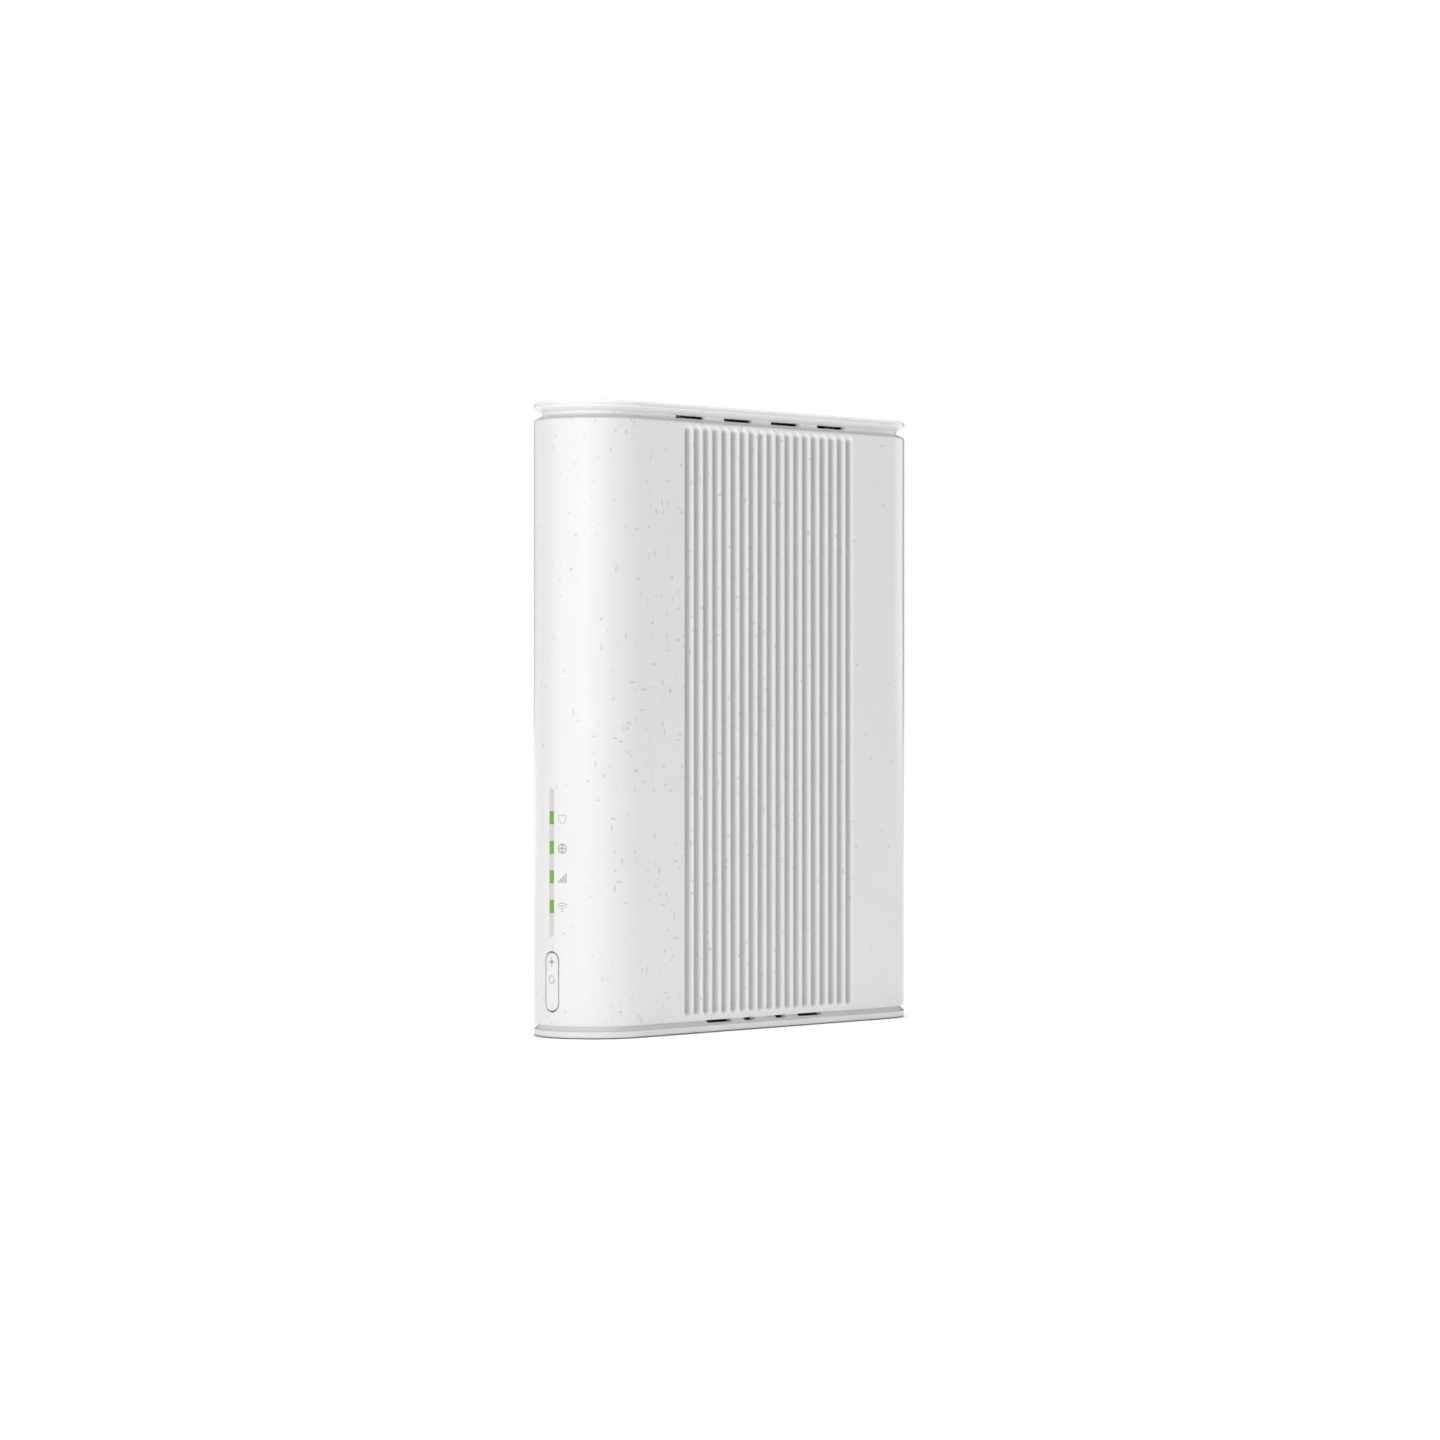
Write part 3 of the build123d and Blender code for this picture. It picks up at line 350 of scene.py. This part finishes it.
def wrapOnFront(mesh):
    # lays flat strokes on the curved front end
    reach = endRadius + symbolPrint["lift"] * mm
    for vert in mesh.verts:
        x, z = vert.co.x * mm, vert.co.z * mm
        vert.co = (x, -endCentre - math.sqrt(reach ** 2 - x ** 2), z)
    faceWay(mesh, Vector((0, -1, 0)))


def faceWay(mesh, way):
    bmesh.ops.recalc_face_normals(mesh, faces=mesh.faces)
    if sum(face.normal.dot(way) for face in mesh.faces) < 0:
        bmesh.ops.reverse_faces(mesh, faces=mesh.faces)


def shieldSymbol(mesh, x, z, line):
    corners = [(-1.7, 1.6), (1.7, 1.6), (1.7, -0.3), (0, -2.0), (-1.7, -0.3), (-1.7, 1.6)]
    for (x1, z1), (x2, z2) in zip(corners, corners[1:]):
        lineStroke(mesh, (x + x1, z + z1), (x + x2, z + z2), line * 1.15)


def globeSymbol(mesh, x, z, line):
    arcStroke(mesh, (x, z), 1.85, 0, 360, line)
    arcStroke(mesh, (x - 1.6, z), 2.1, -48, 96, line * 0.8)
    arcStroke(mesh, (x + 1.6, z), 2.1, 132, 96, line * 0.8)
    lineStroke(mesh, (x - 1.6, z), (x + 1.6, z), line * 0.8)


def barsSymbol(mesh, x, z, line):
    for index in range(4):
        place = x - 1.6 + index * 1.07
        lineStroke(mesh, (place, z - 1.9), (place, z - 0.9 + index * 0.95), line * 2.3)


def wavesSymbol(mesh, x, z, line):
    for radius in (1.2, 2.3, 3.4):
        arcStroke(mesh, (x, z - 1.7), radius, 48, 84, line * 1.1)
    arcStroke(mesh, (x, z - 1.6), 0.22, 0, 360, 0.4)


def pairingSymbol(mesh, x, z, line):
    for start in (30, 210):
        arcStroke(mesh, (x, z), 1.15, start, 125, line)
        tip = math.radians(start + 125)
        lineStroke(mesh, (x + 1.15 * math.cos(tip), z + 1.15 * math.sin(tip)),
                   (x + 1.15 * math.cos(tip + 0.75), z + 1.15 * math.sin(tip + 0.75)), line * 2.6, 0.1)


def lampSymbol(mesh, x, z, line):
    arcStroke(mesh, (x, z), 0.35, 0, 360, 0.6)
    for angle in range(0, 360, 90):
        way = (math.cos(math.radians(angle)), math.sin(math.radians(angle)))
        start, end = [(x + reach * way[0], z + reach * way[1]) for reach in (0.85, 1.45)]
        lineStroke(mesh, start, end, line)


def scaleAbout(mesh, x, z, factor):
    bmesh.ops.scale(mesh, verts=mesh.verts, vec=(factor,) * 3, space=Matrix.Translation((-x, 0, -z)))


inks = {key: makeMoulded("ink" + key.capitalize(), tone, 0.5, 5.0, 0.05)
        for key, tone in inkTones.items()}


def addSymbols():
    look = symbolPrint
    drawings = [("shield_symbol", shieldSymbol, "light"), ("globe_symbol", globeSymbol, "dark"),
                ("bars_symbol", barsSymbol, "mid"), ("waves_symbol", wavesSymbol, "mid")]
    for (name, draw, tone), z in zip(drawings, look["heights"]):
        mesh = bmesh.new()
        draw(mesh, look["right"], z, look["line"])
        scaleAbout(mesh, look["right"], z, look["size"])
        wrapOnFront(mesh)
        makePiece(mesh, name, inks[tone], "housing")
    buttonLow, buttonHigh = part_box("front_button")
    middle = (buttonLow.z + buttonHigh.z) / 2 / mm
    for name, draw, up, tone in (("lamp_symbol", lampSymbol, look["buttonLamp"], "dark"),
                                 ("pairing_symbol", pairingSymbol, look["buttonPairing"], "mid")):
        mesh = bmesh.new()
        draw(mesh, 0.0, middle + up, look["line"])
        scaleAbout(mesh, 0.0, middle + up, look["buttonSize"])
        wrapOnFront(mesh)
        makePiece(mesh, name, inks[tone], "front_button")
    print("symbols done")


addSymbols()


# the coaxial socket, with the thread that its plug screws onto
coaxSocket = {"pitch": 0.794, "crest": 4.70, "root": 4.38, "bore": 3.02, "turnSteps": 64,
              "bodyDepth": 11.0, "bodyBevel": 0.4, "washerDepth": 0.5, "nutDepth": 2.0,
              "tipBevel": 0.25, "boreBevel": 0.2,
              "tooth": ((0.0, "root"), (0.35, "crest"), (0.5, "crest"), (0.85, "root"))}


def spinProfile(mesh, points, centre, steps):
    # turns a closed outline of (along, radius) points about the Y axis through the centre
    verts = [mesh.verts.new((centre.x + radius * mm, along, centre.z)) for along, radius in points]
    edges = [mesh.edges.new((verts[index - 1], verts[index])) for index in range(len(verts))]
    bmesh.ops.spin(mesh, geom=verts + edges, cent=centre, axis=(0, 1, 0), angle=math.tau,
                   steps=steps, use_merge=True)


def addCoaxSocket():
    look = coaxSocket
    low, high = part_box("coax_connector")
    washerLow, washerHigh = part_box("coax_washer")
    centre = (washerLow + washerHigh) / 2
    bodyEnd = low.y + look["bodyDepth"] * mm
    threadStart = washerLow.y + (look["washerDepth"] + look["nutDepth"]) * mm
    tip = high.y
    inBody = bodyEnd - look["bodyBevel"] * mm   # the barrel starts a little inside the block
    outline = [(inBody, look["bore"]), (inBody, look["root"]), (threadStart, look["root"])]
    pitch, tipBevel, boreBevel = look["pitch"] * mm, look["tipBevel"], look["boreBevel"]
    teeth = int((tip - threadStart) / pitch - 0.5)
    for index in range(teeth):
        start = threadStart + (index + 0.25) * pitch
        outline += [(start + share * pitch, look[radius]) for share, radius in look["tooth"]]
    outline += [(tip - tipBevel * mm, look["root"]), (tip, look["root"] - tipBevel),
                (tip, look["bore"] + boreBevel), (tip - boreBevel * mm, look["bore"])]
    mesh = bmesh.new()
    spinProfile(mesh, outline, centre, look["turnSteps"])
    block = bmesh.ops.create_cube(mesh, size=1.0)["verts"]
    bmesh.ops.scale(mesh, verts=block, vec=(high.x - low.x, bodyEnd - low.y, high.z - low.z))
    bmesh.ops.translate(mesh, verts=block, vec=((low.x + high.x) / 2, (low.y + bodyEnd) / 2, centre.z))
    edges = list({edge for vert in block for edge in vert.link_edges})
    bmesh.ops.bevel(mesh, geom=edges, offset=look["bodyBevel"] * mm, segments=2, profile=0.5,
                    affect="EDGES", material=-1)
    bmesh.ops.recalc_face_normals(mesh, faces=mesh.faces)
    piece = makePiece(mesh, "threaded_coax_socket", finishes["nickel_brass"], "housing")
    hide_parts("coax_connector")
    print("coaxial socket done, threads:", teeth)


addCoaxSocket()


# marks beside the rear sockets, each drawn round (0, 0) and then moved to its place
rearMarks = {"lift": 0.03, "line": 0.38, "left": -9.6, "size": 0.8}


def powerMark(mesh, line):
    arcStroke(mesh, (0, 0), 1.5, 120, 300, line)
    lineStroke(mesh, (0, 0.3), (0, 1.9), line)


def networkMark(mesh, line):
    for x, z in ((0, 1.3), (-1.5, -1.3), (1.5, -1.3)):
        for side in (-1, 1):
            lineStroke(mesh, (x - 0.6, z + side * 0.45), (x + 0.6, z + side * 0.45), line * 0.8)
            lineStroke(mesh, (x + side * 0.6, z - 0.45), (x + side * 0.6, z + 0.45), line * 0.8)
        lineStroke(mesh, (x, z - 0.45 if z > 0 else z + 0.45), (x, 0), line * 0.8)
    lineStroke(mesh, (-1.5, 0), (1.5, 0), line * 0.8)


def coaxMark(mesh, line):
    arcStroke(mesh, (0, 0), 1.5, 0, 360, line)
    arcStroke(mesh, (0, 0), 0.3, 0, 360, 0.55)


def supplyMark(mesh, line):
    arcStroke(mesh, (0, 0), 1.0, 20, 320, line)
    arcStroke(mesh, (0, 0), 0.25, 0, 360, 0.45)
    lineStroke(mesh, (0, 0), (2.2, 0), line * 0.8)
    lineStroke(mesh, (-1.0, 0), (-2.2, 0), line * 0.8)


def resetMark(mesh, line):
    arcStroke(mesh, (0, 0), 1.2, 60, 290, line)
    lineStroke(mesh, (0.55, 1.06), (1.5, 1.0), line * 2.4, 0.1)


def addMark(name, draw, x, y, z, body, size):
    # the rear is read from behind, so a drawing is turned half round the upright axis
    mesh = bmesh.new()
    draw(mesh, rearMarks["line"])
    bmesh.ops.rotate(mesh, verts=mesh.verts, cent=(0, 0, 0), matrix=Matrix.Rotation(math.pi, 3, "Z"))
    bmesh.ops.scale(mesh, verts=mesh.verts, vec=(size * mm,) * 3)
    bmesh.ops.translate(mesh, verts=mesh.verts, vec=(x, y + rearMarks["lift"] * mm, z))
    faceWay(mesh, Vector((0, 1, 0)))
    makePiece(mesh, name, inks["dark"], body)


def addRearMarks():
    look = rearMarks
    washerLow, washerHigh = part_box("coax_washer")
    panelFace = washerLow.y
    jackLow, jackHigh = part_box("ethernet_shields")
    supplyLow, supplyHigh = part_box("dc_jack")
    resetLow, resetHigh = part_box("reset_button")
    buttonLow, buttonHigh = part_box("power_button")
    jackHalf = (jackHigh.z - jackLow.z) / 4
    places = [("coax_mark", coaxMark, (washerLow.z + washerHigh.z) / 2),
              ("lower_network_mark", networkMark, jackLow.z + jackHalf),
              ("upper_network_mark", networkMark, jackHigh.z - jackHalf),
              ("supply_mark", supplyMark, (supplyLow.z + supplyHigh.z) / 2),
              ("reset_mark", resetMark, (resetLow.z + resetHigh.z) / 2)]
    for name, draw, z in places:
        addMark(name, draw, look["left"] * mm, panelFace, z, "housing", look["size"])
    buttonMiddle = (buttonLow.z + buttonHigh.z) / 2
    addMark("power_mark", powerMark, 0.0, buttonHigh.y, buttonMiddle, "power_button", 1.0)
    print("rear marks done")


addRearMarks()


studio = {"floorSize": 60.0, "floorTone": (0.93, 0.93, 0.93, 1), "floorShade": 0.99,
          "worldStrength": 0.03}


def addFloor():
    mesh = bmesh.new()
    bmesh.ops.create_grid(mesh, x_segments=8, y_segments=8, size=studio["floorSize"])
    data = bpy.data.meshes.new("floor")
    mesh.to_mesh(data)
    mesh.free()
    floor = bpy.data.objects.new("floor", data)
    bpy.context.scene.collection.objects.link(floor)
    material, shader, place = startMaterial("paleFloor", 0.7, Specular_IOR_Level=0.0)
    shade = [c * studio["floorShade"] for c in studio["floorTone"][:3]] + [1]
    feed(shader, Base_Color=blendColours(noise(place, 0.004, 2.0), studio["floorTone"], shade))
    data.materials.append(material)


def addWorld():
    world = bpy.data.worlds.new("studioWorld")
    bpy.context.scene.world = world
    world.use_nodes = True
    sky = world.node_tree.nodes["Background"]
    sky.inputs["Color"].default_value = (1, 1, 1, 1)
    # the backdrop looks white, and lights the object more softly than it looks
    paths = world.node_tree.nodes.new("ShaderNodeLightPath")
    seen = Wire(paths.outputs["Is Camera Ray"])
    world.node_tree.links.new((seen * (1 - studio["worldStrength"]) + studio["worldStrength"]).socket,
                              sky.inputs["Strength"])


lamps = [
    # name, azimuth, elevation, distance, size and watts
    ("keyBox", -10, 6, 2.2, (1.6, 0.8), 8.5),
    # the right edge of glintBox gives the sharp end of the highlight on the rounded front
    ("glintBox", 23, 6, 2.2, (1.1, 0.8), 7.0),
    ("sideBox", 45, 8, 3.0, (3.0, 2.0), 36.0),
    ("backBox", 170, 12, 2.2, (1.4, 1.0), 10.0),
    ("leftBox", -95, 10, 2.2, (1.6, 1.2), 5.0),
]
overhead = {"spread": 8, "strength": 3.4}


def wayTo(azimuth, elevation):
    a, e = math.radians(azimuth), math.radians(elevation)
    return Vector((math.sin(a) * math.cos(e), -math.cos(a) * math.cos(e), math.sin(e)))


def addLamps():
    middle = Vector((0, 0, highCorner.z / 2))
    for name, azimuth, elevation, distance, size, watts in lamps:
        data = bpy.data.lights.new(name, "AREA")
        data.shape = "RECTANGLE"
        data.size, data.size_y = size
        data.energy = watts
        light = bpy.data.objects.new(name, data)
        bpy.context.scene.collection.objects.link(light)
        way = wayTo(azimuth, elevation)
        light.location = middle + way * distance
        light.rotation_euler = (-way).to_track_quat("-Z", "Y").to_euler()
    ceiling = bpy.data.lights.new("ceiling", "SUN")    # shines straight down, as soft as its spread
    ceiling.angle = math.radians(overhead["spread"])
    ceiling.energy = overhead["strength"]
    bpy.context.scene.collection.objects.link(bpy.data.objects.new("ceiling", ceiling))


viewpoint = {"azimuth": 42.76, "distance": 1.58485, "eyeHeight": 0.10982,
             "lens": 110.18, "shiftX": -0.0034}


def addCamera():
    data = bpy.data.cameras.new("camera")
    camera = bpy.data.objects.new("camera", data)
    bpy.context.scene.collection.objects.link(camera)
    data.lens = viewpoint["lens"]
    data.shift_x = viewpoint["shiftX"]
    data.clip_start, data.clip_end = 0.01, 50.0
    way = wayTo(viewpoint["azimuth"], 0)
    camera.location = way * viewpoint["distance"] + Vector((0, 0, viewpoint["eyeHeight"]))
    camera.rotation_euler = (-way).to_track_quat("-Z", "Y").to_euler()
    bpy.context.scene.camera = camera


addFloor()
addWorld()
addLamps()
addCamera()
bpy.context.scene.view_settings.view_transform = "Standard"
print("studio done")
